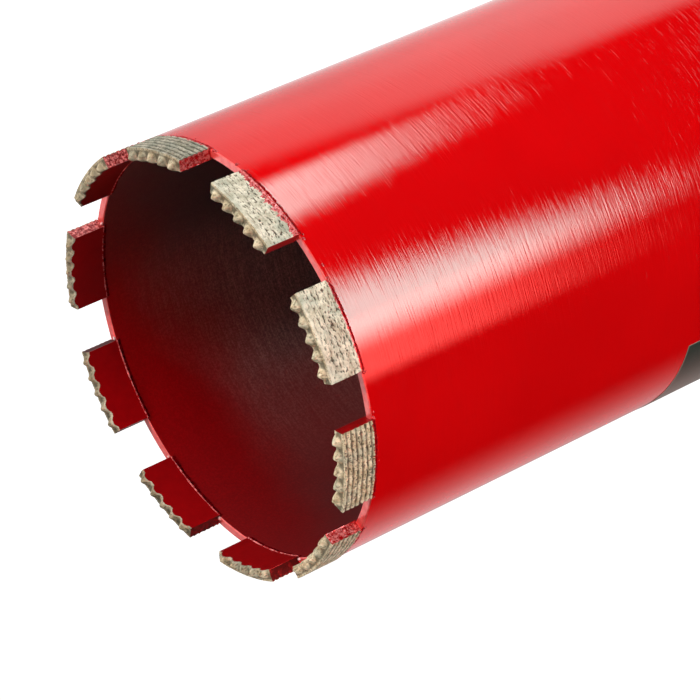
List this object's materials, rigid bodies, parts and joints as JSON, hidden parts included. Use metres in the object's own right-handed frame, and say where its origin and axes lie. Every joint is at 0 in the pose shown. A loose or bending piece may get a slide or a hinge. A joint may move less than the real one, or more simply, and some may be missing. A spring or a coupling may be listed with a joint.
{
  "type": "diamond core bit",
  "caption": "Red lacquered wet core bit: steel barrel, toothed sintered segments on its rim, welded end cap and threaded hub.",
  "frame": {"origin": "centre of the hub's end face, on which the bit stands", "axes": "+Z along the bit's axis from the hub to the cutting end, +X through the middle of segment_01"},
  "size_m": [0.122, 0.1212, 0.5095],
  "materials": {
    "lacquered_steel": "glossy translucent red lacquer over steel ground round the barrel",
    "sintered_matrix": "bare sintered bronze and cobalt matrix on the outer and cutting faces, lacquered elsewhere",
    "machined_steel": "turned steel",
    "weld_metal": "rippled weld bead",
    "label_film": "plain black film"
  },
  "bodies": {
    "root": {"barrel": "lacquered_steel", "end_cap": "lacquered_steel", "hub": "machined_steel", "cap_weld": "lacquered_steel", "hub_weld": "weld_metal", "label": "label_film", "segment_01": "sintered_matrix", "segment_02": "sintered_matrix", "segment_03": "sintered_matrix", "segment_04": "sintered_matrix", "segment_05": "sintered_matrix", "segment_06": "sintered_matrix", "segment_07": "sintered_matrix", "segment_08": "sintered_matrix", "segment_09": "sintered_matrix", "segment_10": "sintered_matrix"}
  },
  "joints": []
}
